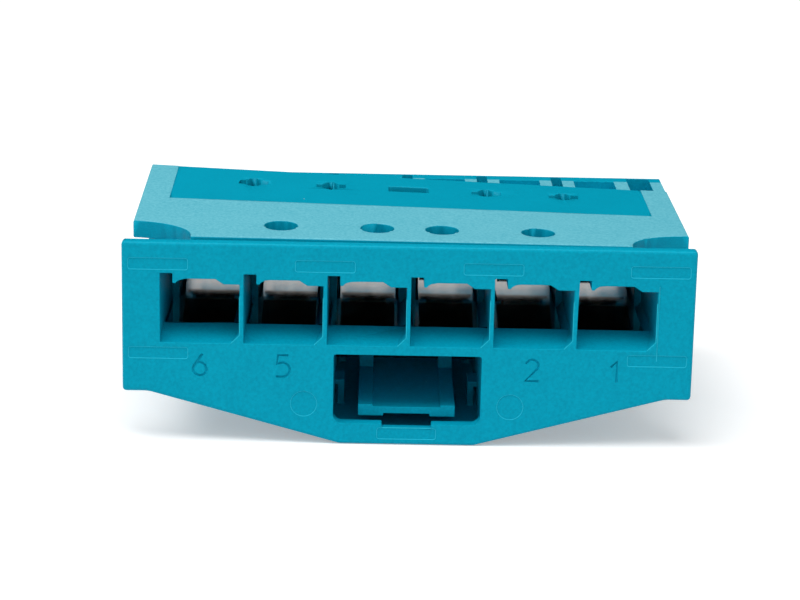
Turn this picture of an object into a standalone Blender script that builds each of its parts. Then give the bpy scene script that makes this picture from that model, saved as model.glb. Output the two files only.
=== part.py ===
"""A pluggable six-pole spring-clamp terminal connector, in metres, +Z up, front flange towards -Y.

The origin is the bottom centre of the whole part. Sizes along Y are written as depths behind the flange's
front face, and heights as distances above the base.
"""

import math

import bmesh
import bpy
from mathutils import Vector

MM = 0.001

# Clearances: between fixed pieces, how far a cutter runs past a face, how far a joined shape sinks in
GAP = 0.3 * MM
PAST = 1.0 * MM
SINK = 0.2 * MM

# Poles and the whole connector
POLES = 6
PITCH = 7.62 * MM
DEPTH = 32.3 * MM

# Front flange
PLATE_HALF_WIDTH = 26.15 * MM
PLATE_HEIGHT = 18.95 * MM
PLATE_THICKNESS = 1.15 * MM
PLATE_FILLET = 0.35 * MM
WING_BOTTOM = 4.75 * MM
WING_FLAT = 2.35 * MM
FOOT_HALF_WIDTH = 6.2 * MM

# Housing block behind the flange, split into a front and a rear half
BODY_HALF_WIDTH = 24.0 * MM
BODY_TOP = 17.0 * MM
BODY_FLOOR = 0.78 * MM
SPLIT_DEPTH = 14.0 * MM

# Wire cells, measured from the top of the flange
CELL_WALL = 0.37 * MM
CELL_BOTTOM = 9.45 * MM
CELL_NOTCH_WIDTH = 1.15 * MM
CELL_NOTCH_TOP = 2.92 * MM
TOOTH_TIP = 3.85 * MM
TOOTH_WIDTH = 0.3 * MM
TOOTH_RUN = 1.05 * MM
ARCH_TOP = 3.42 * MM
ARCH_END = 5.06 * MM
SHOULDER_START = 5.8 * MM
SHOULDER_TOP = 3.9 * MM
CELL_CHAMFER = 0.77 * MM

# Latch window and the channel behind it
WINDOW_HALF_WIDTH = 6.8 * MM
WINDOW_TOP = 10.3 * MM
WINDOW_BOTTOM = 16.9 * MM
WINDOW_RADIUS = 0.85 * MM
WINDOW_TOP_RADIUS = 0.25 * MM
SILL_HALF_WIDTH = 2.28 * MM
SILL_DROP = 0.45 * MM
CHANNEL_WALL = 1.0 * MM

# Ejector marks on the flange: flat blade marks and round pin marks
MARK_SINK = 0.07 * MM
BLADE_MARK = (5.5 * MM, 1.15 * MM)
BLADE_MARK_CORNER = 0.25 * MM
BLADE_MARK_SIDE = 22.85 * MM
BLADE_MARK_INNER = 7.65 * MM
BLADE_MARK_TOP = 2.05 * MM
BLADE_MARK_LOW = 10.45 * MM
BLADE_MARK_FOOT = 17.85 * MM
ROUND_MARK_RADIUS = 1.25 * MM
ROUND_MARK_SIDE = 9.5 * MM
ROUND_MARK_DOWN = 15.1 * MM

# Top cover
COVER_HALF_WIDTH = 25.78 * MM
COVER_SHIFT = 0.18 * MM
COVER_TOP = 19.0 * MM
COVER_THICKNESS = 1.65 * MM
COVER_END = 24.5 * MM
COVER_FILLET = 0.2 * MM
SCOOP_WIDTH = 5.65 * MM
SCOOP_DEPTH = 4.2 * MM
TOOL_HOLE_RADIUS = 1.55 * MM
TOOL_HOLE_DEPTH = 5.4 * MM
TOOL_HOLE_INNER = 3.0 * MM
TOOL_HOLE_OUTER = 11.9 * MM
RECESS_HALF_WIDTH = 23.08 * MM
RECESS_START = 13.2 * MM
RECESS_SINK = 0.08 * MM
KEYHOLE_DEPTH = 20.1 * MM
KEYHOLE_HALF_WIDTH = 0.85 * MM
KEYHOLE_HALF_LENGTH = 1.45 * MM
KEYHOLE_SLOT = (2.8 * MM, 1.2 * MM)
CENTRE_SLOT = (3.9 * MM, 1.9 * MM)
COVER_FRONT_SLOPE = 0.005
COVER_REAR_SLOPE = 0.0355

# Rear half: contact chambers, mating slots and the ribbed strip behind the cover
FLANGE_HALF_WIDTH = 26.0 * MM
STRIP_TOP = 18.6 * MM
CHAMBER_WALL = 1.62 * MM
CHAMBER_TOP = 15.4 * MM
REAR_WALL = 1.2 * MM
SOCKET_SLOT = (4.8 * MM, 4.8 * MM)
POCKET_WIDTH = 4.1 * MM
POCKET_SINK = 0.9 * MM
POCKET_RIM = 2.1 * MM
RIB_SLOT_WIDTH = 1.05 * MM
STRIP_SLOT_SINK = 2.6 * MM
STRIP_SLOT_RIM = 0.5 * MM
END_SLOT_WIDTH = 2.3 * MM
END_SLOT_WALL = 1.2 * MM
PROBE_BORE_RADIUS = 0.95 * MM
PROBE_BORE_SINK = 2.2 * MM

# Bottom cover
BOTTOM_COVER_THICKNESS = 0.9 * MM
SNAP_TAB = (0.6 * MM, 3.0 * MM, 2.4 * MM)
SNAP_NUB = 0.5 * MM
SNAP_NUB_HEIGHT = 0.5 * MM
SNAP_DEPTHS = (11.0 * MM, 25.0 * MM)

# Latch lever and its pin and spring
LEVER_HALF_WIDTH = 4.5 * MM
LEVER_RIB = 1.35 * MM
LEVER_BOTTOM = 2.2 * MM
LEVER_PLATE = 0.9 * MM
LEVER_RIB_RISE = 0.2 * MM
LEVER_FRONT = 1.9 * MM
LEVER_END = 29.0 * MM
LEVER_TAIL_LIFT = 0.4 * MM
LIP_NOTCH = (4.3 * MM, 1.2 * MM, 0.25 * MM)
PIVOT_DEPTH = 15.6 * MM
PIVOT_HEIGHT = 4.4 * MM
PIN_RADIUS = 0.6 * MM
PIVOT_EAR = 1.6 * MM
HOOK_RISE = 2.3 * MM
HOOK_LENGTH = 2.8 * MM
HOOK_TIP = 0.6 * MM
LEAF_THICKNESS = 0.3 * MM
LEAF_WIDTH = 5.0 * MM
LEAF_SPAN = 9.0 * MM

# Clamp springs: a leaf bent round a post, in depth and height
SPRING_THICKNESS = 0.3 * MM
SPRING_FRONT = 11.1 * MM
SPRING_ROOF_BEND = 0.7 * MM
SPRING_FLOOR_BEND = 0.8 * MM
SPRING_FACE = 0.15 * MM
SPRING_LEAF_SLOPE = math.radians(16)
SPRING_TIP_GAP = 1.1 * MM
POST_RADIUS = 0.4 * MM
POST_BEHIND_FRONT = 1.3 * MM

# Current bars: a flat bar on the cell's floor, behind a plastic ramp, and a tongue turned up at its end
RAMP_START = 0.4 * MM
RAMP_LIP = 0.1 * MM
BAR_THICKNESS = 0.4 * MM
BAR_START = 4.3 * MM
BAR_END = 18.75 * MM
BAR_RISE = 1.4 * MM
TONGUE_THICKNESS = 0.3 * MM

# Socket contacts
CONTACT_THICKNESS = 0.4 * MM
CONTACT_WIDTH = 3.6 * MM
CONTACT_RECESS = 4.6 * MM
CONTACT_FLAT = 3.4 * MM
CONTACT_HEIGHT = 3.0 * MM
CONTACT_THROAT = 0.7 * MM
CONTACT_FLARE = 0.75 * MM
CONTACT_MOUTH = 1.7 * MM

# Facets
ARC_STEPS = 6
ROUND_STEPS = 24

# Levels and places that follow from the sizes above
FRONT = -DEPTH / 2
CELL_WIDTH = PITCH - CELL_WALL
CHAMBER_WIDTH = PITCH - CHAMBER_WALL
CELL_FLOOR = PLATE_HEIGHT - CELL_BOTTOM
CELL_ROOF = PLATE_HEIGHT - SHOULDER_TOP
WINDOW_CEILING = PLATE_HEIGHT - WINDOW_TOP
WINDOW_SILL = PLATE_HEIGHT - WINDOW_BOTTOM
BODY_BOTTOM = CELL_FLOOR - BODY_FLOOR
CHANNEL_HALF_WIDTH = WINDOW_HALF_WIDTH + CHANNEL_WALL
CHANNEL_BOTTOM = BOTTOM_COVER_THICKNESS + GAP
REAR_START = SPLIT_DEPTH + GAP
COVER_START = PLATE_THICKNESS + GAP
COVER_BOTTOM = COVER_TOP - COVER_THICKNESS
LEVER_RIB_TOP = LEVER_BOTTOM + LEVER_PLATE + LEVER_RIB_RISE
TAIL_BOTTOM = LEVER_BOTTOM + LEVER_TAIL_LIFT
PIN_BORE = PIN_RADIUS + GAP
BAR_INSET = GAP + BAR_THICKNESS / 2
BAR_MIDDLE = CELL_FLOOR + BAR_INSET
BAR_TOP = BAR_MIDDLE + BAR_THICKNESS / 2
BAR_STEP = SPLIT_DEPTH - GAP
TONGUE_WIDTH = CHAMBER_WIDTH - 2 * GAP
SPRING_WIDTH = TONGUE_WIDTH - GAP / 2
CONTACT_START = BAR_END + (TONGUE_THICKNESS + CONTACT_THICKNESS) / 2 + GAP
CONTACT_BOTTOM = BAR_TOP + GAP
CONTACT_MIDDLE = CONTACT_BOTTOM + (CONTACT_THICKNESS + CONTACT_HEIGHT) / 2
POST_DEPTH = SPRING_FRONT + POST_BEHIND_FRONT
SPRING_TOP = CELL_ROOF - GAP - SPRING_THICKNESS / 2
POST_HEIGHT = SPRING_TOP - SPRING_THICKNESS / 2 - GAP - POST_RADIUS
PARTITIONS = [(index - POLES / 2) * PITCH for index in range(1, POLES)]

TEAL = (0.002, 0.351, 0.503, 1)
STEEL = (0.42, 0.41, 0.40, 1)
COPPER = (0.72, 0.62, 0.50, 1)


def pole_centre(pole):
    """Pole 1 is at the right, seen from the front."""
    return ((POLES + 1) / 2 - pole) * PITCH


def material(name, colour, roughness, metallic):
    made = bpy.data.materials.new(name)
    made.use_nodes = True
    shader = made.node_tree.nodes["Principled BSDF"]
    shader.inputs["Base Color"].default_value = colour
    shader.inputs["Roughness"].default_value = roughness
    shader.inputs["Metallic"].default_value = metallic
    return made


def add_prism(bm, outline, start, end, axis):
    """A closed prism of a flat outline, swept from start to end along the axis named."""
    place = {
        "X": lambda a, b, along: (along, FRONT + a, b),
        "Y": lambda a, b, along: (a, FRONT + along, b),
        "Z": lambda a, b, along: (a, FRONT + b, along),
    }[axis]
    ends = [[bm.verts.new(place(a, b, along)) for a, b in outline] for along in (start, end)]
    count = len(outline)
    faces = [bm.faces.new(ends[0]), bm.faces.new(ends[1])]
    for index in range(count):
        after = (index + 1) % count
        faces.append(bm.faces.new((ends[0][index], ends[0][after], ends[1][after], ends[1][index])))
    bmesh.ops.recalc_face_normals(bm, faces=faces)
    return faces


def add_box(bm, across, depths, heights):
    """A box between two places each: across in X, depth behind the flange's face, and height."""
    outline = [(x, z) for x, z in zip((across[0], across[1], across[1], across[0]), sorted(heights * 2))]
    return add_prism(bm, outline, depths[0], depths[1], "Y")


def circle(centre, radius, steps=ROUND_STEPS):
    turns = [2 * math.pi * index / steps for index in range(steps)]
    return [(centre[0] + radius * math.cos(turn), centre[1] + radius * math.sin(turn)) for turn in turns]


def arc(centre, radius, start, end, steps=ARC_STEPS):
    turns = [start + (end - start) * index / steps for index in range(steps + 1)]
    return [(centre[0] + radius * math.cos(turn), centre[1] + radius * math.sin(turn)) for turn in turns]


def strip(path, thickness):
    """The outline of a bent strip whose middle line is the path."""
    points = [Vector(point) for point in path]
    sides = ([], [])
    for index, point in enumerate(points):
        before = (point - points[index - 1]).normalized() if index else None
        after = (points[index + 1] - point).normalized() if index + 1 < len(points) else None
        first = before or after
        second = after or before
        normals = [Vector((-way.y, way.x)) for way in (first, second)]
        middle = (normals[0] + normals[1]).normalized()
        reach = thickness / 2 / middle.dot(normals[0])
        sides[0].append(tuple(point + middle * reach))
        sides[1].append(tuple(point - middle * reach))
    return sides[0] + sides[1][::-1]


def new_object(name, bm, finish=None, origin=(0, 0, 0)):
    """An object of the mesh given, with its origin at that place and its shape left where it is."""
    bmesh.ops.translate(bm, verts=bm.verts, vec=-Vector(origin))
    mesh = bpy.data.meshes.new(name)
    bm.to_mesh(mesh)
    bm.free()
    made = bpy.data.objects.new(name, mesh)
    made.location = origin
    bpy.context.collection.objects.link(made)
    if finish:
        mesh.materials.append(finish)
        mesh.shade_smooth()
        mesh.set_sharp_from_angle(angle=math.radians(30))
    return made


def combine(target, operation, helper_name, build):
    """Joins to the target, or cuts from it, the closed shapes that build adds to an empty mesh."""
    bm = bmesh.new()
    build(bm)
    helper = new_object(helper_name, bm)
    helper.hide_render = True
    helper.display_type = "WIRE"
    modifier = target.modifiers.new(helper_name, "BOOLEAN")
    modifier.operation = operation
    modifier.object = helper
    modifier.solver = "EXACT"


def bevel_edges(bm, width, chosen):
    edges = [edge for edge in bm.edges if chosen(edge)]
    bmesh.ops.bevel(bm, geom=edges, offset=width, segments=3, profile=0.5, affect="EDGES")


def plate_outline():
    right = [
        (FOOT_HALF_WIDTH, 0),
        (PLATE_HALF_WIDTH - WING_FLAT, WING_BOTTOM),
        (PLATE_HALF_WIDTH, WING_BOTTOM),
        (PLATE_HALF_WIDTH, PLATE_HEIGHT),
    ]
    return right + [(-x, z) for x, z in reversed(right)]


def cell_outline(centre):
    """One wire entry: a stepped roof with a small tooth, and a chamfer at the lower right."""
    left = centre - CELL_WIDTH / 2
    tooth = CELL_NOTCH_WIDTH + TOOTH_WIDTH
    rise = TOOTH_TIP - ARCH_TOP
    turns = [math.pi / 2 * index / ARC_STEPS for index in range(ARC_STEPS + 1)]
    sweep = [(tooth + TOOTH_RUN * (1 - math.cos(turn)), TOOTH_TIP - rise * math.sin(turn)) for turn in turns]
    points = [
        (0, CELL_NOTCH_TOP),
        (CELL_NOTCH_WIDTH, CELL_NOTCH_TOP),
        (CELL_NOTCH_WIDTH, TOOTH_TIP),
        *sweep,
        (ARCH_END, ARCH_TOP),
        (SHOULDER_START, SHOULDER_TOP),
        (CELL_WIDTH, SHOULDER_TOP),
        (CELL_WIDTH, CELL_BOTTOM - CELL_CHAMFER),
        (CELL_WIDTH - CELL_CHAMFER, CELL_BOTTOM),
        (0, CELL_BOTTOM),
    ]
    return [(left + across, PLATE_HEIGHT - down) for across, down in points]


def window_outline():
    """The latch window, with round corners and a notch in its sill for a screwdriver."""
    corner = (WINDOW_HALF_WIDTH - WINDOW_RADIUS, WINDOW_SILL + WINDOW_RADIUS)
    top_corner = (WINDOW_HALF_WIDTH - WINDOW_TOP_RADIUS, WINDOW_CEILING - WINDOW_TOP_RADIUS)
    right = [
        (SILL_HALF_WIDTH, WINDOW_SILL - SILL_DROP),
        (SILL_HALF_WIDTH, WINDOW_SILL),
        *arc(corner, WINDOW_RADIUS, -math.pi / 2, 0),
        *arc(top_corner, WINDOW_TOP_RADIUS, 0, math.pi / 2, ARC_STEPS // 2),
    ]
    return right + [(-x, z) for x, z in reversed(right)]


def blade_outline(across, height):
    """A flat ejector blade's mark: a box with small round corners."""
    half_long = BLADE_MARK[0] / 2 - BLADE_MARK_CORNER
    half_tall = BLADE_MARK[1] / 2 - BLADE_MARK_CORNER
    points = []
    for quarter, (side, up) in enumerate(((1, 1), (-1, 1), (-1, -1), (1, -1))):
        start = quarter * math.pi / 2
        corner = (across + side * half_long, height + up * half_tall)
        points += arc(corner, BLADE_MARK_CORNER, start, start + math.pi / 2, ARC_STEPS // 2)
    return points


def add_ejector_marks(bm):
    blades = [(0, BLADE_MARK_FOOT)]
    for side in (-1, 1):
        blades.append((side * BLADE_MARK_SIDE, BLADE_MARK_TOP))
        blades.append((side * BLADE_MARK_INNER, BLADE_MARK_TOP))
        blades.append((side * BLADE_MARK_SIDE, BLADE_MARK_LOW))
        round_place = (side * ROUND_MARK_SIDE, PLATE_HEIGHT - ROUND_MARK_DOWN)
        add_prism(bm, circle(round_place, ROUND_MARK_RADIUS), -PAST, MARK_SINK, "Y")
    for across, down in blades:
        add_prism(bm, blade_outline(across, PLATE_HEIGHT - down), -PAST, MARK_SINK, "Y")


def add_channel(bm, start, end):
    """The inside of the latch channel, open below."""
    inside = (-WINDOW_HALF_WIDTH, WINDOW_HALF_WIDTH)
    add_box(bm, inside, (start, end), (CHANNEL_BOTTOM - PAST, WINDOW_CEILING))


def add_snap_slots(bm, depths):
    """Slots in the channel's walls that the bottom cover's nubs snap into."""
    low = BOTTOM_COVER_THICKNESS + SNAP_TAB[2] - SNAP_NUB_HEIGHT - GAP
    high = BOTTOM_COVER_THICKNESS + SNAP_TAB[2] + GAP
    reach = SNAP_TAB[1] / 2 + GAP
    outside = CHANNEL_HALF_WIDTH + PAST
    for depth in depths:
        add_box(bm, (-outside, outside), (depth - reach, depth + reach), (low, high))


def add_pin_bore(bm):
    """The latch pin's bore through the channel's walls, in whichever half of the housing it crosses."""
    outside = CHANNEL_HALF_WIDTH + PAST
    add_prism(bm, circle((PIVOT_DEPTH, PIVOT_HEIGHT), PIN_BORE), -outside, outside, "X")


def make_front_housing(finish):
    bm = bmesh.new()
    add_prism(bm, plate_outline(), 0, PLATE_THICKNESS, "Y")
    back = FRONT + PLATE_THICKNESS - SINK
    bevel_edges(bm, PLATE_FILLET, lambda edge: any(vert.co.y < back for vert in edge.verts))
    housing = new_object("front_housing", bm, finish)
    body = (PLATE_THICKNESS - SINK, SPLIT_DEPTH)

    def block(bm):
        add_box(bm, (-BODY_HALF_WIDTH, BODY_HALF_WIDTH), body, (BODY_BOTTOM, BODY_TOP))

    def channel_block(bm):
        across = (-CHANNEL_HALF_WIDTH, CHANNEL_HALF_WIDTH)
        add_box(bm, across, body, (CHANNEL_BOTTOM, BODY_BOTTOM + SINK))

    def cells(bm):
        for pole in range(1, POLES + 1):
            add_prism(bm, cell_outline(pole_centre(pole)), -PAST, SPLIT_DEPTH + PAST, "Y")

    reach = (POLES * PITCH + BODY_HALF_WIDTH * 2) / 4

    def ramps(bm):
        end = BAR_START - GAP
        buried = CELL_FLOOR - SINK
        outline = [(RAMP_START, buried), (end, buried), (end, BAR_TOP + RAMP_LIP), (RAMP_START, CELL_FLOOR)]
        add_prism(bm, outline, -reach, reach, "X")

    def posts(bm):
        add_prism(bm, circle((POST_DEPTH, POST_HEIGHT), POST_RADIUS, ROUND_STEPS // 2), -reach, reach, "X")

    combine(housing, "UNION", "front_block", block)
    combine(housing, "UNION", "front_channel_block", channel_block)
    combine(housing, "DIFFERENCE", "cells", cells)
    combine(housing, "DIFFERENCE", "window",
            lambda bm: add_prism(bm, window_outline(), -PAST, PLATE_THICKNESS + SINK, "Y"))
    combine(housing, "DIFFERENCE", "front_channel",
            lambda bm: add_channel(bm, PLATE_THICKNESS, SPLIT_DEPTH + PAST))
    combine(housing, "DIFFERENCE", "front_snap_slots", lambda bm: add_snap_slots(bm, SNAP_DEPTHS[:1]))
    combine(housing, "DIFFERENCE", "ejector_marks", add_ejector_marks)
    combine(housing, "DIFFERENCE", "front_pin_bore", add_pin_bore)
    combine(housing, "UNION", "wire_ramps", ramps)
    combine(housing, "UNION", "spring_posts", posts)


def make_rear_housing(finish):
    bm = bmesh.new()
    add_box(bm, (-BODY_HALF_WIDTH, BODY_HALF_WIDTH), (REAR_START, DEPTH), (BODY_BOTTOM, BODY_TOP))
    housing = new_object("rear_housing", bm, finish)
    strip_start = COVER_END + GAP

    def flange(bm):
        across = (-FLANGE_HALF_WIDTH, FLANGE_HALF_WIDTH)
        add_box(bm, across, (strip_start, DEPTH), (BODY_BOTTOM, STRIP_TOP))
        back = FRONT + DEPTH - SINK
        bevel_edges(bm, PLATE_FILLET, lambda edge: all(vert.co.y > back for vert in edge.verts))

    def channel_block(bm):
        across = (-CHANNEL_HALF_WIDTH, CHANNEL_HALF_WIDTH)
        add_box(bm, across, (REAR_START, DEPTH - PLATE_FILLET), (CHANNEL_BOTTOM, BODY_BOTTOM + SINK))

    def chambers(bm):
        for pole in range(1, POLES + 1):
            centre = pole_centre(pole)
            across = (centre - CHAMBER_WIDTH / 2, centre + CHAMBER_WIDTH / 2)
            add_box(bm, across, (REAR_START - PAST, DEPTH - REAR_WALL), (CELL_FLOOR, CHAMBER_TOP))

    def socket_slots(bm):
        heights = (CONTACT_MIDDLE - SOCKET_SLOT[1] / 2, CONTACT_MIDDLE + SOCKET_SLOT[1] / 2)
        for pole in range(1, POLES + 1):
            centre = pole_centre(pole)
            across = (centre - SOCKET_SLOT[0] / 2, centre + SOCKET_SLOT[0] / 2)
            add_box(bm, across, (DEPTH - REAR_WALL - SINK, DEPTH + PAST), heights)

    def strip_pockets(bm):
        for pole in range(1, POLES + 1):
            centre = pole_centre(pole)
            across = (centre - POCKET_WIDTH / 2, centre + POCKET_WIDTH / 2)
            depths = (strip_start - PAST, DEPTH - POCKET_RIM)
            add_box(bm, across, depths, (STRIP_TOP - POCKET_SINK, STRIP_TOP + PAST))

    def strip_slots(bm):
        half = RIB_SLOT_WIDTH / 2
        outer = FLANGE_HALF_WIDTH - END_SLOT_WALL
        inner = outer - END_SLOT_WIDTH
        spans = [(partition - half, partition + half) for partition in PARTITIONS]
        spans += [(-outer, -inner), (inner, outer)]
        for across in spans:
            depths = (strip_start - SINK, DEPTH - STRIP_SLOT_RIM)
            add_box(bm, across, depths, (STRIP_TOP - STRIP_SLOT_SINK, STRIP_TOP + PAST))

    def probe_bores(bm):
        for partition in PARTITIONS:
            if abs(partition) < PITCH / 2:
                continue
            outline = circle((partition, KEYHOLE_DEPTH), PROBE_BORE_RADIUS, ROUND_STEPS // 2)
            add_prism(bm, outline, BODY_TOP - PROBE_BORE_SINK, BODY_TOP + PAST, "Z")

    combine(housing, "UNION", "rear_flange", flange)
    combine(housing, "UNION", "rear_channel_block", channel_block)
    combine(housing, "DIFFERENCE", "chambers", chambers)
    combine(housing, "DIFFERENCE", "socket_slots", socket_slots)
    combine(housing, "DIFFERENCE", "strip_pockets", strip_pockets)
    combine(housing, "DIFFERENCE", "strip_slots", strip_slots)
    combine(housing, "DIFFERENCE", "rear_channel",
            lambda bm: add_channel(bm, REAR_START - PAST, DEPTH + PAST))
    combine(housing, "DIFFERENCE", "rear_snap_slots", lambda bm: add_snap_slots(bm, SNAP_DEPTHS[1:]))
    combine(housing, "DIFFERENCE", "rear_pin_bore", add_pin_bore)
    combine(housing, "DIFFERENCE", "probe_bores", probe_bores)


def cover_lift(across, depth):
    """How far the cover stands up here: its left side is raised, and more so towards the rear."""
    share = (depth - COVER_START) / (COVER_END - COVER_START)
    slope = COVER_FRONT_SLOPE + (COVER_REAR_SLOPE - COVER_FRONT_SLOPE) * share
    return slope * (COVER_HALF_WIDTH + COVER_SHIFT - across)


def keyhole_outline(centre):
    """An oval hole with a slot running out of both sides of it."""
    half_slot = KEYHOLE_SLOT[1] / 2
    open_turn = math.asin(half_slot / KEYHOLE_HALF_LENGTH)
    half = [(KEYHOLE_SLOT[0] / 2, -half_slot), (KEYHOLE_SLOT[0] / 2, half_slot)]
    for x, y in arc((0, 0), 1, open_turn, math.pi - open_turn):
        half.append((x * KEYHOLE_HALF_WIDTH, y * KEYHOLE_HALF_LENGTH))
    whole = half + [(-x, -y) for x, y in half]
    return [(centre + x, KEYHOLE_DEPTH + y) for x, y in whole]


def make_top_cover(finish):
    bm = bmesh.new()
    sides = (COVER_SHIFT - COVER_HALF_WIDTH, COVER_SHIFT + COVER_HALF_WIDTH)
    add_box(bm, sides, (COVER_START, COVER_END), (COVER_BOTTOM, COVER_TOP))
    bevel_edges(bm, COVER_FILLET, lambda edge: all(vert.co.z > COVER_TOP - SINK for vert in edge.verts))
    cover = new_object("top_cover", bm, finish)
    through = (COVER_BOTTOM - PAST, COVER_TOP + PAST)
    inner = COVER_HALF_WIDTH - SCOOP_WIDTH
    outside = COVER_HALF_WIDTH + PAST

    def scoops(bm):
        turns = [math.pi / 2 * index / (2 * ARC_STEPS) for index in range(2 * ARC_STEPS + 1)]
        curve = [
            (COVER_HALF_WIDTH - SCOOP_WIDTH * math.cos(turn), COVER_START + SCOOP_DEPTH * math.sin(turn))
            for turn in turns
        ]
        before = COVER_START - PAST
        corner = [(outside, COVER_START + SCOOP_DEPTH), (outside, before), (inner, before)]
        for side in (-1, 1):
            outline = [(COVER_SHIFT + side * x, y) for x, y in curve + corner]
            add_prism(bm, outline, *through, "Z")

    def holes(bm):
        for across in (-TOOL_HOLE_OUTER, -TOOL_HOLE_INNER, TOOL_HOLE_INNER, TOOL_HOLE_OUTER):
            add_prism(bm, circle((across, TOOL_HOLE_DEPTH), TOOL_HOLE_RADIUS), *through, "Z")
        for partition in PARTITIONS:
            if abs(partition) < PITCH / 2:
                half = (CENTRE_SLOT[0] / 2, CENTRE_SLOT[1] / 2)
                depths = (KEYHOLE_DEPTH - half[1], KEYHOLE_DEPTH + half[1])
                add_box(bm, (partition - half[0], partition + half[0]), depths, through)
            else:
                add_prism(bm, keyhole_outline(partition), *through, "Z")

    def recess(bm):
        across = (COVER_SHIFT - RECESS_HALF_WIDTH, COVER_SHIFT + RECESS_HALF_WIDTH)
        add_box(bm, across, (RECESS_START, COVER_END + PAST), (COVER_TOP - RECESS_SINK, COVER_TOP + PAST))

    combine(cover, "DIFFERENCE", "cover_scoops", scoops)
    combine(cover, "DIFFERENCE", "cover_recess", recess)
    combine(cover, "DIFFERENCE", "cover_holes", holes)
    lift_cover(cover)


def lift_cover(cover):
    """Settles the cover's cuts, slices it into a grid and raises its left rear corner."""
    graph = bpy.context.evaluated_depsgraph_get()
    settled = bpy.data.meshes.new_from_object(cover.evaluated_get(graph))
    cover.modifiers.clear()
    bm = bmesh.new()
    bm.from_mesh(settled)
    slices = [((partition, 0, 0), (1, 0, 0)) for partition in PARTITIONS]
    run = COVER_END - COVER_START
    slices += [((0, FRONT + COVER_START + run * share, 0), (0, 1, 0)) for share in (0.25, 0.5, 0.75)]
    for place, way in slices:
        everything = bm.verts[:] + bm.edges[:] + bm.faces[:]
        bmesh.ops.bisect_plane(bm, geom=everything, dist=SINK * 1e-3, plane_co=place, plane_no=way)
    bmesh.ops.triangulate(bm, faces=bm.faces[:])
    for vert in bm.verts:
        vert.co.z += cover_lift(vert.co.x, vert.co.y - FRONT)
    bm.to_mesh(settled)
    bm.free()
    cover.data = settled
    settled.shade_smooth()
    settled.set_sharp_from_angle(angle=math.radians(30))


def make_bottom_cover(finish):
    half = WINDOW_HALF_WIDTH - GAP
    across = (-CHANNEL_HALF_WIDTH, CHANNEL_HALF_WIDTH)
    bm = bmesh.new()
    add_box(bm, across, (COVER_START, DEPTH - PLATE_FILLET), (0, BOTTOM_COVER_THICKNESS))
    cover = new_object("bottom_cover", bm, finish)
    wide, long, tall = SNAP_TAB
    top = BOTTOM_COVER_THICKNESS + tall

    def sides(bm, near, far, low):
        for depth in SNAP_DEPTHS:
            for side in (-1, 1):
                across = sorted((side * near, side * far))
                add_box(bm, across, (depth - long / 2, depth + long / 2), (low, top))

    combine(cover, "UNION", "snap_tabs",
            lambda bm: sides(bm, half - wide, half, BOTTOM_COVER_THICKNESS - SINK))
    combine(cover, "UNION", "snap_nubs",
            lambda bm: sides(bm, half - SINK, half + GAP + SNAP_NUB, top - SNAP_NUB_HEIGHT))


def make_latch_lever(finish):
    """A channel-shaped rocker with a lip at the front, two ears for its pin, and a hook at the rear."""
    plate_top = LEVER_BOTTOM + LEVER_PLATE
    inner = LEVER_HALF_WIDTH - LEVER_RIB
    right = [
        (LEVER_HALF_WIDTH, LEVER_BOTTOM),
        (LEVER_HALF_WIDTH, LEVER_RIB_TOP),
        (inner, LEVER_RIB_TOP),
        (inner, plate_top),
    ]
    bm = bmesh.new()
    add_prism(bm, right + [(-x, z) for x, z in reversed(right)], LEVER_FRONT, LEVER_END, "Y")
    lever = new_object("latch_lever", bm, finish, (0, FRONT + PIVOT_DEPTH, PIVOT_HEIGHT))

    def ears(bm):
        for side in (-1, 1):
            across = sorted((side * inner, side * LEVER_HALF_WIDTH))
            start = (PIVOT_DEPTH - PIVOT_EAR, LEVER_RIB_TOP - SINK)
            end = (PIVOT_DEPTH + PIVOT_EAR, LEVER_RIB_TOP - SINK)
            crown = arc((PIVOT_DEPTH, PIVOT_HEIGHT), PIVOT_EAR, 0, math.pi)
            add_prism(bm, [start, end, *crown], *across, "X")

    def hook(bm):
        top = plate_top + HOOK_RISE
        outline = [
            (LEVER_END - HOOK_LENGTH, plate_top - SINK),
            (LEVER_END, plate_top - SINK),
            (LEVER_END, plate_top + HOOK_RISE / 3),
            (LEVER_END - HOOK_LENGTH + HOOK_TIP, top),
            (LEVER_END - HOOK_LENGTH, top),
        ]
        add_prism(bm, outline, -inner - SINK, inner + SINK, "X")

    def cuts(bm):
        wide, long, tall = LIP_NOTCH
        across = (-wide / 2, wide / 2)
        below = LEVER_BOTTOM - PAST
        add_box(bm, across, (LEVER_FRONT - PAST, LEVER_FRONT + long), (below, LEVER_BOTTOM + tall))
        outside = (-LEVER_HALF_WIDTH - PAST, LEVER_HALF_WIDTH + PAST)
        add_box(bm, outside, (PIVOT_DEPTH + PIVOT_EAR, LEVER_END + PAST), (below, TAIL_BOTTOM))

    combine(lever, "UNION", "lever_ears", ears)
    combine(lever, "UNION", "lever_hook", hook)
    combine(lever, "DIFFERENCE", "lever_cuts", cuts)
    combine(lever, "DIFFERENCE", "lever_bore",
            lambda bm: add_prism(bm, circle((PIVOT_DEPTH, PIVOT_HEIGHT), PIN_BORE),
                                 -LEVER_HALF_WIDTH - PAST, LEVER_HALF_WIDTH + PAST, "X"))


def make_latch_pivot_pin(finish):
    bm = bmesh.new()
    outline = circle((PIVOT_DEPTH, PIVOT_HEIGHT), PIN_RADIUS)
    add_prism(bm, outline, -CHANNEL_HALF_WIDTH, CHANNEL_HALF_WIDTH, "X")
    new_object("latch_pivot_pin", bm, finish)


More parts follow.
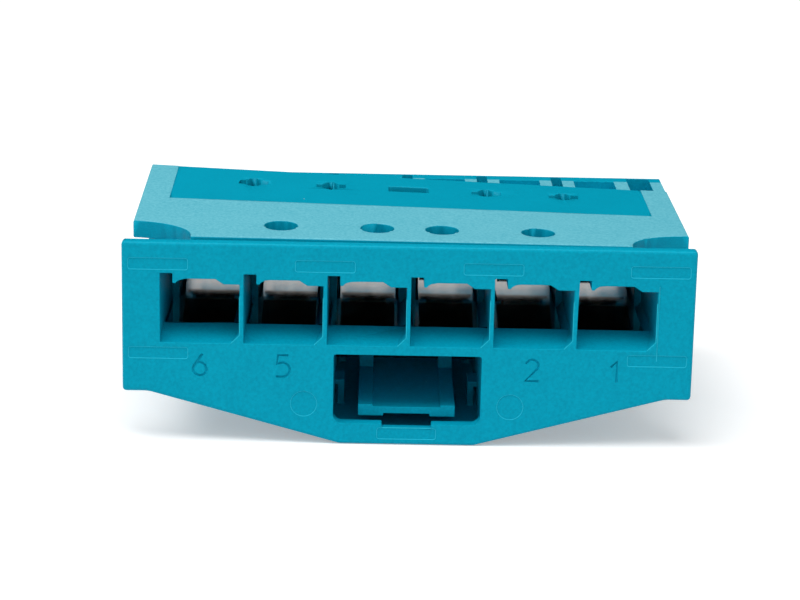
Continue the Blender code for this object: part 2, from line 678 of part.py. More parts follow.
def make_latch_leaf_spring(finish):
    """A bowed leaf between the bottom cover and the lever's tail."""
    low = BOTTOM_COVER_THICKNESS + GAP + LEAF_THICKNESS / 2
    high = TAIL_BOTTOM - GAP - LEAF_THICKNESS / 2
    start = (PIVOT_DEPTH + PIVOT_EAR + LEVER_END - LEAF_SPAN) / 2
    shares = [index / (2 * ARC_STEPS) for index in range(2 * ARC_STEPS + 1)]
    path = [(start + LEAF_SPAN * share, low + (high - low) * math.sin(math.pi * share)) for share in shares]
    bm = bmesh.new()
    add_prism(bm, strip(path, LEAF_THICKNESS), -LEAF_WIDTH / 2, LEAF_WIDTH / 2, "X")
    new_object("latch_leaf_spring", bm, finish)


def clamp_spring_path():
    """From the roof round the front of the post, then under it and down the leaf towards the current bar."""
    roof = (SPRING_FRONT + SPRING_ROOF_BEND, SPRING_TOP - SPRING_ROOF_BEND)
    floor = (SPRING_FRONT + SPRING_FLOOR_BEND, roof[1] - SPRING_FACE)
    bend = arc(floor, SPRING_FLOOR_BEND, math.pi, 1.5 * math.pi - SPRING_LEAF_SLOPE)
    tip_height = BAR_TOP + SPRING_TIP_GAP + SPRING_THICKNESS / 2
    run = (bend[-1][1] - tip_height) / math.tan(SPRING_LEAF_SLOPE)
    top = [(POST_DEPTH, SPRING_TOP), *arc(roof, SPRING_ROOF_BEND, math.pi / 2, math.pi)]
    return top + bend + [(bend[-1][0] + run, tip_height)]


def make_current_bar(pole, finish):
    """A bar as wide as the cell's floor, that narrows to the chamber behind and turns up at its end."""
    centre = pole_centre(pole)
    left = centre - CELL_WIDTH / 2 + GAP
    right = centre + CELL_WIDTH / 2 - CELL_CHAMFER
    bm = bmesh.new()
    add_box(bm, (left, right), (BAR_START, BAR_STEP), (BAR_TOP - BAR_THICKNESS, BAR_TOP))
    bar = new_object(f"current_bar_{pole}", bm, finish)

    def tongue(bm):
        level = BAR_TOP - TONGUE_THICKNESS / 2
        path = [(BAR_STEP - SINK, level), (BAR_END, level), (BAR_END, level + BAR_RISE)]
        half = TONGUE_WIDTH / 2
        add_prism(bm, strip(path, TONGUE_THICKNESS), centre - half, centre + half, "X")

    combine(bar, "UNION", f"bar_tongue_{pole}", tongue)


def make_pole(pole, spring_finish, bar_finish):
    """One pole's clamp spring, current bar and socket contact."""
    centre = pole_centre(pole)
    bm = bmesh.new()
    outline = strip(clamp_spring_path(), SPRING_THICKNESS)
    add_prism(bm, outline, centre - SPRING_WIDTH / 2, centre + SPRING_WIDTH / 2, "X")
    new_object(f"clamp_spring_{pole}", bm, spring_finish, (centre, FRONT + POST_DEPTH, POST_HEIGHT))

    make_current_bar(pole, bar_finish)

    low = CONTACT_BOTTOM + CONTACT_THICKNESS / 2
    throat = CONTACT_MIDDLE - CONTACT_THROAT / 2
    mouth = DEPTH - CONTACT_RECESS
    lower = [
        (CONTACT_START, low),
        (CONTACT_START + CONTACT_FLAT, low),
        (mouth - CONTACT_MOUTH, throat),
        (mouth, throat - CONTACT_FLARE),
    ]
    upper = [(depth, 2 * CONTACT_MIDDLE - height) for depth, height in reversed(lower)]
    bm = bmesh.new()
    outline = strip(upper + lower, CONTACT_THICKNESS)
    add_prism(bm, outline, centre - CONTACT_WIDTH / 2, centre + CONTACT_WIDTH / 2, "X")
    new_object(f"socket_contact_{pole}", bm, bar_finish)


def main():
    for old in list(bpy.data.objects):
        bpy.data.objects.remove(old)
    housing = material("turquoise_plastic", TEAL, 0.45, 0)
    cover = material("textured_turquoise_plastic", TEAL, 0.6, 0)
    spring = material("spring_steel", STEEL, 0.2, 1)
    copper = material("tinned_copper", COPPER, 0.3, 1)
    make_front_housing(housing)
    make_rear_housing(housing)
    make_top_cover(cover)
    make_bottom_cover(housing)
    make_latch_lever(housing)
    make_latch_pivot_pin(spring)
    make_latch_leaf_spring(spring)
    for pole in range(1, POLES + 1):
        make_pole(pole, spring, copper)


main()
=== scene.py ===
"""The looks of a pluggable six-pole terminal connector, in metres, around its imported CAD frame."""

import math

import bmesh
import bpy
from mathutils import Matrix, Vector
from mathutils.geometry import intersect_point_line


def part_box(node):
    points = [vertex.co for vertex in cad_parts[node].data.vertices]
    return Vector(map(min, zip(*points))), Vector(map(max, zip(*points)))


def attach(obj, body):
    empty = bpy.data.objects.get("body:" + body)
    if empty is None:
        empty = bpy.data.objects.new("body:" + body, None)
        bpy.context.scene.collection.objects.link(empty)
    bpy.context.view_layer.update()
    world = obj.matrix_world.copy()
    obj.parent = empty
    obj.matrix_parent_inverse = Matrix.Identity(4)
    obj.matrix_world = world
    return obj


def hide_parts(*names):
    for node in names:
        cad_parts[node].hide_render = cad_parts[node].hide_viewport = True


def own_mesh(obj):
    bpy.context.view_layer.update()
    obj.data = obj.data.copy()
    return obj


MM = 0.001

# The photograph's camera, in the part's frame
CAMERA_PLACE = (-2.988 * MM, -230.83 * MM, 72.80 * MM)
CAMERA_YAW = -0.0101
CAMERA_PITCH = 0.2677
CAMERA_ROLL = 0.0209
CAMERA_LENS = 110.09
CAMERA_SENSOR = 36.0
CAMERA_CLIP = (1 * MM, 10)

# A pale table, which is lifted a little towards white where it is seen directly
TABLE_HALF = 1.5
TABLE_DROP = 0.01 * MM
TABLE_COLOUR = (0.88, 0.88, 0.88, 1)
TABLE_ROUGHNESS = 0.9
TABLE_LIFT = 0.32

# A softbox high up at the front left, in a light tent with a bright front and roof and a dark back
SOFTBOX_SIZE = (1.0, 0.40)
SOFTBOX_PLACE = (-0.196, -0.280, 0.940)
SOFTBOX_POWER = 7.2
TENT_FRONT = 0.56
TENT_FRONT_FADE = (0.15, 0.55)
TENT_ROOF = 0.35
TENT_ROOF_FADE = (0.50, 0.78)

# Colours of the plastic, the dust on it and the metal
TEAL = (0.0010, 0.390, 0.555, 1)
TEAL_DEEP = (0.0006, 0.305, 0.450, 1)
# The grained plastic is lighter than the plain teal, partly a painted sheen of its rough surface under the
# top light
TEXTURED_SHEEN = (0.170, 0.570, 0.675, 1)
TEXTURED_SHEEN_DEEP = (0.085, 0.440, 0.555, 1)
# The flash colour is lighter than the plastic: a painted highlight on the flash lines
FLASH_HIGHLIGHT = (0.020, 0.545, 0.700, 1)
DUST = (0.55, 0.75, 0.80, 1)
STEEL = (0.26, 0.255, 0.25, 1)
TIN = (0.93, 0.925, 0.915, 1)
WHITE = (1, 1, 1, 1)

# Surface of the plastic: fine grain mixed with wider flow mottling, and sparse dust
GRAIN_DETAIL = 2.5
GRAIN_ROUGHNESS = 0.6
GRAIN_DEPTH = 0.03 * MM
GRAIN_SHARE = 0.85
MOTTLE_SCALE = 260
MOTTLE_DETAIL = 3
DUST_SCALE = 420
DUST_SIZE = 0.022
DUST_RARITY = 0.72

# Surface of the rolled metal: fine streaks, duller in between
STREAK_SCALE = 900
STREAK_DETAIL = 3
STREAK_RELIEF = 0.05
STREAK_DEPTH = 0.01 * MM
STREAK_DULL = 0.86

# Places of the colour sockets of a mix node
MIX_COLOUR_INPUTS = (6, 7)
MIX_COLOUR_OUTPUT = 2

# Roundings of the edges of each kind of piece, and the angle from which an edge is sharp
HOUSING_EDGE = 0.09 * MM
COVER_EDGE = 0.12 * MM
REAR_EDGE = 0.06 * MM
LEVER_EDGE = 0.06 * MM
METAL_EDGE = 0.04 * MM
EDGE_ANGLE = math.radians(35)
EDGE_SEGMENTS = 2

# Room that an edge needs on the faces beside it to be rounded, in widths of its rounding
FACE_ROOM = 2.4

# Corners closer than this are one, and faces flatter than this are joined
WELD = 0.0005 * MM
FLAT_ANGLE = math.radians(0.6)

# Straight pieces that stand for an arc, a corner, a pin mark and the half-round of a flash line that carries
# a painted highlight
ARC_STEPS = 10
CORNER_STEPS = 4
PIN_MARK_STEPS = 40
FLASH_HIGHLIGHT_STEPS = 4

# Pole numbers, engraved under the poles that carry one
PITCH = 7.62 * MM
POLES = 6
DIGIT_HEIGHT = 2.05 * MM
DIGIT_DOWN = 11.5 * MM
DIGIT_STROKE = 0.13 * MM
DIGIT_BURIED = 0.03 * MM
DIGIT_ROUNDNESS = 2

# Ejector marks on the front plate, each with a fine flash line along its outline, in a lighter colour that is
# a painted highlight, and their places in millimetres across from the middle and down from the plate's top
BLADE_MARK = (5.5 * MM, 1.15 * MM)
BLADE_CORNER = 0.25 * MM
BLADE_PLACES = [
    (0, 17.85),
    (-22.85, 2.05),
    (22.85, 2.05),
    (-7.65, 2.05),
    (7.65, 2.05),
    (-22.85, 10.45),
    (22.85, 10.45),
]
PIN_MARK_RADIUS = 1.25 * MM
PIN_MARK_PLACES = [(-9.5, 15.1), (9.5, 15.1)]
MARK_SINK = 0.07 * MM
FLASH_HIGHLIGHT_RADIUS = 0.038 * MM
FLASH_HIGHLIGHT_INSET = 0.025 * MM

# Right and lower right edge of each wire cell, which carries a flash line too, a painted highlight of that
# edge
CELL_WIDTH = 7.25 * MM
CELL_CHAMFER = 0.77 * MM
CELL_DOWN = 9.45 * MM
CELL_EDGE_TOP = 5.0 * MM
CELL_FLASH_HIGHLIGHT_SINK = 0.045 * MM

# Flash line along the rounded top edge of the plate, a painted highlight of that rounding
RIM_FLASH_HIGHLIGHT_SIDE = 25.85 * MM
RIM_FLASH_HIGHLIGHT_DOWN = 0.12 * MM
RIM_FLASH_HIGHLIGHT_SINK = 0.15 * MM

# Parting line of the mould, at the right of the front plate
PARTING_ACROSS = 22.8 * MM
PARTING_HEIGHTS = (8.5 * MM, 15.6 * MM)
PARTING_GROOVE = (0.10 * MM, 0.05 * MM)

# Smooth recess of the textured cover
RECESS_SIDES = (-22.9 * MM, 23.26 * MM)
RECESS_START = 13.2 * MM

# How steeply the cover rises to the left at its front and its rear, and the slices that it is twisted in
COVER_SLOPES = (0.005, 0.0355)
COVER_SLICE = 3.0 * MM

# How far up a face has to look to carry the grain and its lighter colour, which is partly a painted sheen, as
# the upward part of its normal
GRAIN_SHEEN_SIDE = 0.6

# Rear edge of the grained part of the rear housing's top, lighter partly as a painted sheen, in front of its
# plain rim
GRAIN_SHEEN_END = 30.2 * MM

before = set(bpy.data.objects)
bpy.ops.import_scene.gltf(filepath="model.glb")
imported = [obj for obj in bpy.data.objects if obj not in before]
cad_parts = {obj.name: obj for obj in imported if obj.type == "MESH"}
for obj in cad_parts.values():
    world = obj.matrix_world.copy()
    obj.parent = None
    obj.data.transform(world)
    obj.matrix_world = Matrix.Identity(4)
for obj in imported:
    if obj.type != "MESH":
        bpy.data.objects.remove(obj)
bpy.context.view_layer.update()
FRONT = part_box("front_housing")[0].y
PLATE_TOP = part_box("front_housing")[1].z
COVER_LOW, COVER_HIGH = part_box("top_cover")


def link(tree, source, target):
    """Joins two sockets of a shader tree."""
    tree.links.new(source, target)


def node(tree, kind, **settings):
    """A shader node, with its sockets and properties set by name."""
    made = tree.nodes.new(kind)
    for name, value in settings.items():
        label = name.replace("_", " ")
        if label in made.inputs:
            made.inputs[label].default_value = value
        else:
            setattr(made, name, value)
    return made


def new_material(name):
    """A new material, its shader tree and its main shader."""
    made = bpy.data.materials.new(name)
    made.use_nodes = True
    return made, made.node_tree, made.node_tree.nodes["Principled BSDF"]


def noise(tree, coordinates, scale, detail, roughness=0.5):
    """A noise value at each place of the piece."""
    made = node(tree, "ShaderNodeTexNoise", Scale=scale, Detail=detail, Roughness=roughness)
    link(tree, coordinates, made.inputs["Vector"])
    return made.outputs["Fac"]


def spread(tree, value, low, high, start=0.3, end=0.7):
    """Maps a value onto the range given; a noise value mostly lies between the usual start and end."""
    made = node(tree, "ShaderNodeMapRange")
    made.inputs["From Min"].default_value = start
    made.inputs["From Max"].default_value = end
    made.inputs["To Min"].default_value = low
    made.inputs["To Max"].default_value = high
    link(tree, value, made.inputs["Value"])
    return made.outputs["Result"]


def blend_colours(tree, factor, first, second):
    """A colour between two, each of which is a fixed colour or another node's output."""
    made = node(tree, "ShaderNodeMix", data_type="RGBA")
    link(tree, factor, made.inputs["Factor"])
    for index, colour in zip(MIX_COLOUR_INPUTS, (first, second)):
        if isinstance(colour, tuple):
            made.inputs[index].default_value = colour
        else:
            link(tree, colour, made.inputs[index])
    return made.outputs[MIX_COLOUR_OUTPUT]


def dust(tree, coordinates):
    """Sparse small specks: a mask that is 1 on a few round spots."""
    cells = node(tree, "ShaderNodeTexVoronoi", Scale=DUST_SCALE, Randomness=1.0)
    link(tree, coordinates, cells.inputs["Vector"])
    near = node(tree, "ShaderNodeMath", operation="LESS_THAN")
    near.inputs[1].default_value = DUST_SIZE
    link(tree, cells.outputs["Distance"], near.inputs[0])
    split = node(tree, "ShaderNodeSeparateColor")
    link(tree, cells.outputs["Color"], split.inputs["Color"])
    few = node(tree, "ShaderNodeMath", operation="GREATER_THAN")
    few.inputs[1].default_value = DUST_RARITY
    link(tree, split.outputs["Red"], few.inputs[0])
    both = node(tree, "ShaderNodeMath", operation="MULTIPLY")
    link(tree, near.outputs[0], both.inputs[0])
    link(tree, few.outputs[0], both.inputs[1])
    return both.outputs[0]


def bump(tree, height, shader, strength, distance):
    """Gives the shader a fine relief."""
    made = node(tree, "ShaderNodeBump", Strength=strength, Distance=distance)
    link(tree, height, made.inputs["Height"])
    link(tree, made.outputs["Normal"], shader.inputs["Normal"])


def moulded_plastic(name, colour, deep, grain, rough, relief, specular):
    """Moulded plastic: a fine grain, faint flow mottling, uneven gloss and a little dust."""
    made, tree, shader = new_material(name)
    place = node(tree, "ShaderNodeTexCoord").outputs["Object"]
    mottle = spread(tree, noise(tree, place, MOTTLE_SCALE, MOTTLE_DETAIL), 0, 1)
    fine = noise(tree, place, grain, GRAIN_DETAIL, GRAIN_ROUGHNESS)
    speckle = spread(tree, fine, 0, 1)
    average = node(tree, "ShaderNodeMath", operation="MULTIPLY_ADD")
    average.inputs[1].default_value = GRAIN_SHARE
    link(tree, speckle, average.inputs[0])
    part = node(tree, "ShaderNodeMath", operation="MULTIPLY")
    part.inputs[1].default_value = 1 - GRAIN_SHARE
    link(tree, mottle, part.inputs[0])
    link(tree, part.outputs[0], average.inputs[2])
    body = blend_colours(tree, average.outputs[0], deep, colour)
    specks = dust(tree, place)
    link(tree, blend_colours(tree, specks, body, DUST), shader.inputs["Base Color"])
    link(tree, spread(tree, fine, rough[0], rough[1]), shader.inputs["Roughness"])
    shader.inputs["Specular IOR Level"].default_value = specular
    bump(tree, fine, shader, relief, GRAIN_DEPTH)
    return made


def brushed_metal(name, colour, rough, stretch):
    """Rolled metal strip with fine streaks along its length."""
    made, tree, shader = new_material(name)
    place = node(tree, "ShaderNodeTexCoord").outputs["Object"]
    mapped = node(tree, "ShaderNodeMapping")
    mapped.inputs["Scale"].default_value = stretch
    link(tree, place, mapped.inputs["Vector"])
    streaks = noise(tree, mapped.outputs["Vector"], STREAK_SCALE, STREAK_DETAIL)
    dull = tuple(channel * STREAK_DULL for channel in colour[:3]) + (1,)
    streaked = blend_colours(tree, spread(tree, streaks, 0, 1), dull, colour)
    link(tree, streaked, shader.inputs["Base Color"])
    link(tree, spread(tree, streaks, rough[0], rough[1]), shader.inputs["Roughness"])
    shader.inputs["Metallic"].default_value = 1.0
    bump(tree, streaks, shader, STREAK_RELIEF, STREAK_DEPTH)
    return made


def welded(name):
    """The named CAD piece as one closed mesh, with its facets joined up."""
    bm = bmesh.new()
    bm.from_mesh(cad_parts[name].data)
    bmesh.ops.remove_doubles(bm, verts=bm.verts, dist=WELD)
    return bm


def join_flats(bm):
    """Joins the facets that lie in one plane."""
    bmesh.ops.dissolve_limit(bm, angle_limit=FLAT_ANGLE, verts=bm.verts, edges=bm.edges)


def roomy(edge, face, room):
    """Whether a face is wide enough, as a whole and beside the middle of this edge."""
    if 2 * face.calc_area() / face.calc_perimeter() < room:
        return False
    middle = (edge.verts[0].co + edge.verts[1].co) / 2
    for other in face.edges:
        if set(other.verts).isdisjoint(edge.verts):
            start, end = (vert.co for vert in other.verts)
            share = intersect_point_line(middle, start, end)[1]
            nearest = start.lerp(end, min(max(share, 0), 1))
            if (nearest - middle).length < room:
                return False
    return True


def round_edges(bm, width):
    """Rounds the sharp edges, apart from those beside a face too narrow for it."""
    chosen = []
    for edge in bm.edges:
        if len(edge.link_faces) == 2 and edge.calc_face_angle(0) > EDGE_ANGLE:
            if all(roomy(edge, face, FACE_ROOM * width) for face in edge.link_faces):
                chosen.append(edge)
    bmesh.ops.bevel(
        bm,
        geom=chosen,
        offset=width,
        segments=EDGE_SEGMENTS,
        profile=0.5,
        affect="EDGES",
        clamp_overlap=False,
    )


def carve(bm, tools):
    """Cuts closed tool meshes out of the mesh, one after another."""
    mesh = bpy.data.meshes.new("carved")
    bm.to_mesh(mesh)
    bm.free()
    target = bpy.data.objects.new("carved", mesh)
    bpy.context.collection.objects.link(target)
    for tool in tools:
        cut = target.modifiers.new(tool.name, "BOOLEAN")
        cut.operation = "DIFFERENCE"
        cut.object = tool
        cut.solver = "EXACT"
    graph = bpy.context.evaluated_depsgraph_get()
    settled = bpy.data.meshes.new_from_object(target.evaluated_get(graph))
    result = bmesh.new()
    result.from_mesh(settled)
    bpy.data.objects.remove(target)
    for tool in tools:
        bpy.data.objects.remove(tool)
    return result


def piece_from(bm, name, body, slot, *finishes):
    """Makes the mesh a piece that rides on a body and stands for the CAD piece of that name."""
    mesh = bpy.data.meshes.new(f"{name}_finish")
    bm.to_mesh(mesh)
    bm.free()
    for finish in finishes:
        mesh.materials.append(finish)
    mesh.shade_smooth()
    mesh.set_sharp_from_angle(angle=EDGE_ANGLE)
    made = bpy.data.objects.new(f"{name}_finish", mesh)
    bpy.context.collection.objects.link(made)
    weighted = made.modifiers.new("weighted_normals", "WEIGHTED_NORMAL")
    weighted.keep_sharp = True
    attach(made, body)
    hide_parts(name)
    return made


def turn(centre, radius, start, end, steps=ARC_STEPS):
    """Points along an arc, with angles in degrees."""
    angles = [math.radians(start + (end - start) * index / steps) for index in range(steps + 1)]
    return [(centre[0] + radius * math.cos(angle), centre[1] + radius * math.sin(angle)) for angle in angles]


# Strokes of each digit, in heights of the digit, from its middle
DIGIT_STROKES = {
    "1": [[(-0.20, 0.20), (0.07, 0.48), (0.07, -0.5)]],
    "2": [[*turn((0.0, 0.22), 0.28, 165, -30), (-0.30, -0.5), (0.30, -0.5)]],
    "5": [[(0.24, 0.5), (-0.22, 0.5), (-0.27, 0.08), *turn((-0.02, -0.17), 0.33, 105, -90), (-0.30, -0.5)]],
    "6": [
        [(0.12, 0.5), *turn((0.0, -0.2), 0.30, 150, 185, steps=4)],
        turn((0.0, -0.2), 0.30, 0, 360, steps=24)[:-1],
    ],
}


def stroke_tool(name, points, centre, closed):
    """A round cutter along a stroke that lies in the front plate's face."""
    curve = bpy.data.curves.new(name, "CURVE")
    curve.dimensions = "3D"
    curve.bevel_depth = DIGIT_STROKE
    curve.bevel_resolution = DIGIT_ROUNDNESS
    curve.use_fill_caps = True
    spline = curve.splines.new("POLY")
    spline.points.add(len(points) - 1)
    spline.use_cyclic_u = closed
    for point, (across, up) in zip(spline.points, points):
        point.co = (
            centre[0] + across * DIGIT_HEIGHT,
            FRONT + DIGIT_BURIED,
            centre[1] + up * DIGIT_HEIGHT,
            1,
        )
    made = bpy.data.objects.new(name, curve)
    bpy.context.collection.objects.link(made)
    graph = bpy.context.evaluated_depsgraph_get()
    mesh = bpy.data.meshes.new_from_object(made.evaluated_get(graph))
    bpy.data.objects.remove(made)
    tool = bpy.data.objects.new(name, mesh)
    bpy.context.collection.objects.link(tool)
    return tool


def digit_tools():
    """The cutters of all the pole numbers, with pole 1 at the right."""
    tools = []
    for digit, strokes in DIGIT_STROKES.items():
        across = ((POLES + 1) / 2 - int(digit)) * PITCH
        centre = (across, PLATE_TOP - DIGIT_DOWN)
        for index, points in enumerate(strokes):
            closed = digit == "6" and index == 1
            tools.append(stroke_tool(f"digit_{digit}_{index}", points, centre, closed))
    return tools


def mark_outlines():
    """The outline of each ejector mark, a little inside its edge, across and up in the plate's face."""
    outlines = []
    half_long = BLADE_MARK[0] / 2 - BLADE_CORNER
    half_tall = BLADE_MARK[1] / 2 - BLADE_CORNER
    for across, down in BLADE_PLACES:
        outline = []
        for quarter, (side, up) in enumerate(((1, 1), (-1, 1), (-1, -1), (1, -1))):
            corner = (across * MM + side * half_long, PLATE_TOP - down * MM + up * half_tall)
            outline += turn(corner, BLADE_CORNER - FLASH_HIGHLIGHT_INSET, 90 * quarter, 90 * quarter + 90, CORNER_STEPS)
        outlines.append(outline)
    for across, down in PIN_MARK_PLACES:
        centre = (across * MM, PLATE_TOP - down * MM)
        outlines.append(turn(centre, PIN_MARK_RADIUS - FLASH_HIGHLIGHT_INSET, 0, 360, PIN_MARK_STEPS)[:-1])
    return outlines


def cell_edges():
    """The right edge of each wire cell and the chamfer under it, across and up in the plate's face."""
    edges = []
    for pole in range(1, POLES + 1):
        right = ((POLES + 1) / 2 - pole) * PITCH + CELL_WIDTH / 2
        floor = PLATE_TOP - CELL_DOWN
        edges.append([
            (right - CELL_CHAMFER, floor),
            (right, floor + CELL_CHAMFER),
            (right, PLATE_TOP - CELL_EDGE_TOP),
        ])
    return edges


def add_flash_highlight(bm, points, depth, closed):
    """A fine half-round bead in the lighter flash colour, a painted highlight, closed all round, along points
    of the plate and on a floor at that depth.
    """
    count = len(points)
    rings = []
    for index, point in enumerate(points):
        before = points[index - 1] if closed or index else point
        after = points[(index + 1) % count] if closed or index + 1 < count else point
        way = Vector((after[0] - before[0], after[1] - before[1])).normalized()
        ring = []
        for step in range(FLASH_HIGHLIGHT_STEPS + 1):
            angle = math.pi * step / FLASH_HIGHLIGHT_STEPS
            out = FLASH_HIGHLIGHT_RADIUS * math.cos(angle)
            forward = FRONT + depth - FLASH_HIGHLIGHT_RADIUS * math.sin(angle)
            ring.append(bm.verts.new((point[0] + way.y * out, forward, point[1] - way.x * out)))
        rings.append(ring)
    for index in range(count if closed else count - 1):
        first, second = rings[index], rings[(index + 1) % count]
        for step in range(-1, FLASH_HIGHLIGHT_STEPS):
            face = bm.faces.new((first[step], first[step + 1], second[step + 1], second[step]))
            face.material_index = 1
    if not closed:
        for cap in (reversed(rings[0]), rings[-1]):
            bm.faces.new(list(cap)).material_index = 1


def parting_tool():
    """A thin box that cuts the parting line's groove into the front plate."""
    bm = bmesh.new()
    wide, deep = PARTING_GROOVE
    low, high = PARTING_HEIGHTS
    bmesh.ops.create_cube(bm, size=1)
    bmesh.ops.scale(bm, vec=(wide, 2 * deep, high - low), verts=bm.verts)
    bmesh.ops.translate(bm, vec=(PARTING_ACROSS, FRONT, (low + high) / 2), verts=bm.verts)
    mesh = bpy.data.meshes.new("parting_line")
    bm.to_mesh(mesh)
    bm.free()
    tool = bpy.data.objects.new("parting_line", mesh)
    bpy.context.collection.objects.link(tool)
    return tool


def make_front_housing(finish, flash_highlight):
    """The front housing with its pole numbers, parting line and flash lines, whose lighter colour is a
    painted highlight.
    """
    bm = welded("front_housing")
    join_flats(bm)
    round_edges(bm, HOUSING_EDGE)
    bm = carve(bm, [*digit_tools(), parting_tool()])
    # Beads in the lighter flash colour, a painted highlight, along the marks, the seam, the cell edges and
    # the top rim
    for outline in mark_outlines():
        add_flash_highlight(bm, outline, MARK_SINK, closed=True)
    seam = [(PARTING_ACROSS, height) for height in PARTING_HEIGHTS]
    add_flash_highlight(bm, seam, PARTING_GROOVE[1], closed=False)
    for edge in cell_edges():
        add_flash_highlight(bm, edge, CELL_FLASH_HIGHLIGHT_SINK, closed=False)
    rim = [(side * RIM_FLASH_HIGHLIGHT_SIDE, PLATE_TOP - RIM_FLASH_HIGHLIGHT_DOWN) for side in (-1, 1)]
    add_flash_highlight(bm, rim, RIM_FLASH_HIGHLIGHT_SINK, closed=False)
    piece_from(bm, "front_housing", "housing", "housing", finish, flash_highlight)


def make_plain(name, body, edge, finish):
    """A plastic piece that needs no more than rounded edges."""
    bm = welded(name)
    join_flats(bm)
    round_edges(bm, edge)
    piece_from(bm, name, body, "housing", finish)


def make_rear_housing(plain, textured_sheen):
    """The rear housing, whose top is grained in front of the rim, in a lighter colour that is partly a
    painted sheen.
    """
    bm = welded("rear_housing")
    join_flats(bm)
    round_edges(bm, REAR_EDGE)
    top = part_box("rear_housing")[1].z
    everything = bm.verts[:] + bm.edges[:] + bm.faces[:]
    rim = Vector((0, FRONT + GRAIN_SHEEN_END, 0))
    bmesh.ops.bisect_plane(bm, geom=everything, dist=WELD, plane_co=rim, plane_no=(0, 1, 0))
    for face in bm.faces:
        place = face.calc_center_median()
        grained_sheen = face.normal.z > GRAIN_SHEEN_SIDE and top - place.z < REAR_EDGE and place.y < rim.y
        face.material_index = 1 if grained_sheen else 0
    piece_from(bm, "rear_housing", "housing", "housing", plain, textured_sheen)


def smooth_place(point):
    """Whether a place on the cover's upper side lies in its polished recess."""
    return RECESS_SIDES[0] < point.x < RECESS_SIDES[1] and point.y - FRONT > RECESS_START


def cover_lift(point):
    """How far the sprung cover stands up here."""
    share = (point.y - COVER_LOW.y) / (COVER_HIGH.y - COVER_LOW.y)
    slope = COVER_SLOPES[0] + (COVER_SLOPES[1] - COVER_SLOPES[0]) * share
    return slope * (COVER_HIGH.x - point.x)


def slice_up(bm, low, high, axis):
    """Slices the mesh across one axis, so that it can follow a twist."""
    way = Vector((0, 0, 0))
    way[axis] = 1
    count = round((high[axis] - low[axis]) / COVER_SLICE)
    for index in range(1, count):
        place = way * (low[axis] + (high[axis] - low[axis]) * index / count)
        everything = bm.verts[:] + bm.edges[:] + bm.faces[:]
        bmesh.ops.bisect_plane(bm, geom=everything, dist=WELD, plane_co=place, plane_no=way)


def make_top_cover(textured_sheen, smooth):
    """The cover laid flat, with its edges rounded, and then twisted up again."""
    bm = welded("top_cover")
    for vert in bm.verts:
        vert.co.z -= cover_lift(vert.co)
    join_flats(bm)
    round_edges(bm, COVER_EDGE)
    # Faces that look up get the grained plastic, whose lighter colour is partly a painted sheen; the others
    # and the recess get the smooth one
    for face in bm.faces:
        face.material_index = 0 if face.normal.z > GRAIN_SHEEN_SIDE else 1
        if smooth_place(face.calc_center_median()):
            face.material_index = 1
    for axis in (0, 1):
        slice_up(bm, COVER_LOW, COVER_HIGH, axis)
    bmesh.ops.triangulate(bm, faces=bm.faces[:])
    for vert in bm.verts:
        vert.co.z += cover_lift(vert.co)
    piece_from(bm, "top_cover", "housing", "cover", textured_sheen, smooth)


def make_metal(name, body, slot, finish, edge=METAL_EDGE):
    """A metal piece, with its edges left sharp where the rounding is 0."""
    bm = welded(name)
    join_flats(bm)
    if edge:
        round_edges(bm, edge)
    return piece_from(bm, name, body, slot, finish)


def make_plastics():
    """The plain moulded plastic, its flash in a lighter colour as a painted highlight, the grained plastic in
    a lighter colour that is partly a painted sheen, and the smooth one.
    """
    plate = moulded_plastic(
        "moulded_teal", TEAL, TEAL_DEEP, grain=3800, rough=(0.40, 0.52), relief=0.30, specular=0.04
    )
    # Flash lines in a lighter teal, a painted highlight
    flash_highlight = moulded_plastic(
        "flash_highlight_teal", FLASH_HIGHLIGHT, FLASH_HIGHLIGHT, grain=6500, rough=(0.40, 0.52), relief=0.1, specular=0.1
    )
    # Lighter than the plain teal, partly a painted sheen of the rough grain
    textured_sheen = moulded_plastic(
        "textured_sheen_teal", TEXTURED_SHEEN, TEXTURED_SHEEN_DEEP, grain=3800, rough=(0.62, 0.78), relief=0.55, specular=0.15
    )
    smooth = moulded_plastic(
        "smooth_teal", TEAL, TEAL_DEEP, grain=9000, rough=(0.34, 0.42), relief=0.06, specular=0.06
    )
    return plate, flash_highlight, textured_sheen, smooth


def make_pieces():
    """All the pieces of the connector, each in place of its CAD piece."""
    plate, flash_highlight, textured_sheen, smooth = make_plastics()
    steel = brushed_metal("rolled_spring_steel", STEEL, rough=(0.16, 0.24), stretch=(0.12, 1.0, 1.0))
    tin = brushed_metal("tinned_strip", TIN, rough=(0.08, 0.13), stretch=(1.0, 0.12, 1.0))
    make_front_housing(plate, flash_highlight)
    make_rear_housing(plate, textured_sheen)
    make_plain("bottom_cover", "housing", HOUSING_EDGE, plate)
    make_plain("latch_lever", "latch", LEVER_EDGE, plate)
    make_top_cover(textured_sheen, smooth)
    make_metal("latch_pivot_pin", "housing", "spring_steel", steel)
    leaf = make_metal("latch_leaf_spring", "housing", "spring_steel", steel)
    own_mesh(leaf)
    for pole in range(1, POLES + 1):
        make_metal(f"clamp_spring_{pole}", f"spring_{pole}", "spring_steel", steel)
        make_metal(f"current_bar_{pole}", "housing", "tinned_copper", tin, edge=0)
        make_metal(f"socket_contact_{pole}", "housing", "tinned_copper", tin)


def seen_directly(tree):
    """1 for rays from the camera and for mirror and glass rays, 0 for the light that falls on the part."""
    path = node(tree, "ShaderNodeLightPath")
    total = path.outputs["Is Camera Ray"]
    for kind in ("Is Glossy Ray", "Is Transmission Ray"):
        either = node(tree, "ShaderNodeMath", operation="MAXIMUM")
        link(tree, total, either.inputs[0])
        link(tree, path.outputs[kind], either.inputs[1])
        total = either.outputs[0]
    return total


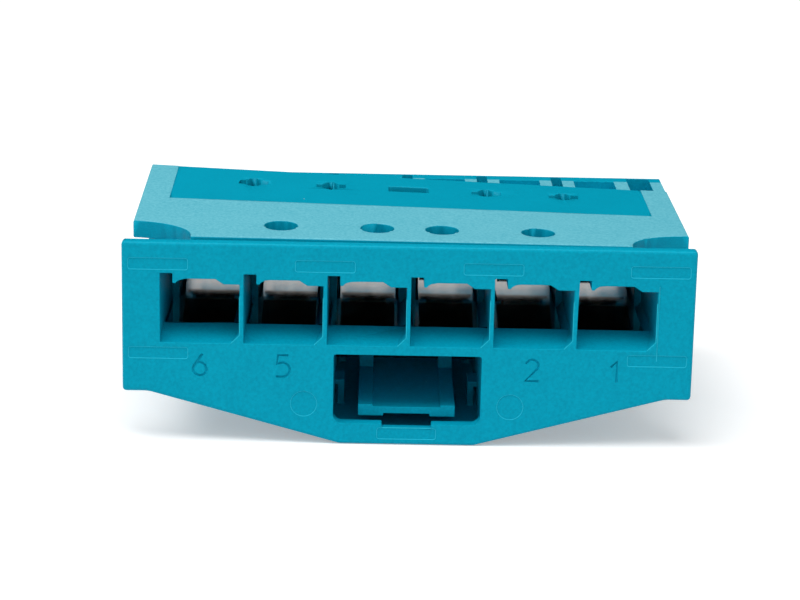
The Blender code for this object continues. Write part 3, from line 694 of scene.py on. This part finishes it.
def make_table():
    """The pale table just under the part."""
    mesh = bpy.data.meshes.new("table")
    sides = ((-1, -1), (1, -1), (1, 1), (-1, 1))
    corners = [(x * TABLE_HALF, y * TABLE_HALF, -TABLE_DROP) for x, y in sides]
    mesh.from_pydata(corners, [], [(0, 1, 2, 3)])
    table = bpy.data.objects.new("table", mesh)
    bpy.context.collection.objects.link(table)
    made, tree, shader = new_material("pale_table")
    shader.inputs["Base Color"].default_value = TABLE_COLOUR
    shader.inputs["Roughness"].default_value = TABLE_ROUGHNESS
    shader.inputs["Specular IOR Level"].default_value = 0.0
    shader.inputs["Emission Color"].default_value = WHITE
    lift = node(tree, "ShaderNodeMath", operation="MULTIPLY")
    lift.inputs[1].default_value = TABLE_LIFT
    link(tree, seen_directly(tree), lift.inputs[0])
    link(tree, lift.outputs[0], shader.inputs["Emission Strength"])
    mesh.materials.append(made)


def make_softbox():
    """The main light, turned towards the part."""
    lamp = bpy.data.lights.new("softbox", "AREA")
    lamp.shape = "RECTANGLE"
    lamp.size, lamp.size_y = SOFTBOX_SIZE
    lamp.energy = SOFTBOX_POWER
    softbox = bpy.data.objects.new("softbox", lamp)
    softbox.location = SOFTBOX_PLACE
    softbox.rotation_euler = Vector(SOFTBOX_PLACE).to_track_quat("Z", "Y").to_euler()
    bpy.context.collection.objects.link(softbox)


def make_tent():
    """White light from the front and from the roof, which fades out towards the back."""
    world = bpy.data.worlds.new("light_tent")
    bpy.context.scene.world = world
    world.use_nodes = True
    tree = world.node_tree
    way = node(tree, "ShaderNodeTexCoord").outputs["Generated"]
    split = node(tree, "ShaderNodeSeparateXYZ")
    link(tree, way, split.inputs["Vector"])
    both = node(tree, "ShaderNodeMath", operation="MAXIMUM")
    link(tree, spread(tree, split.outputs["Y"], TENT_FRONT, 0, *TENT_FRONT_FADE), both.inputs[0])
    link(tree, spread(tree, split.outputs["Z"], 0, TENT_ROOF, *TENT_ROOF_FADE), both.inputs[1])
    link(tree, both.outputs[0], tree.nodes["Background"].inputs["Strength"])
    tree.nodes["Background"].inputs["Color"].default_value = WHITE


def make_camera():
    """The photograph's camera."""
    camera = bpy.data.objects.new("camera", bpy.data.cameras.new("camera"))
    camera.data.sensor_fit = "HORIZONTAL"
    camera.data.sensor_width = CAMERA_SENSOR
    camera.data.lens = CAMERA_LENS
    camera.data.clip_start, camera.data.clip_end = CAMERA_CLIP
    camera.matrix_world = (
        Matrix.Translation(Vector(CAMERA_PLACE))
        @ Matrix.Rotation(CAMERA_YAW, 4, "Z")
        @ Matrix.Rotation(math.pi / 2 - CAMERA_PITCH, 4, "X")
        @ Matrix.Rotation(CAMERA_ROLL, 4, "Z")
    )
    bpy.context.collection.objects.link(camera)
    bpy.context.scene.camera = camera


bpy.context.scene.view_settings.view_transform = "Standard"
make_pieces()
make_table()
make_softbox()
make_tent()
make_camera()
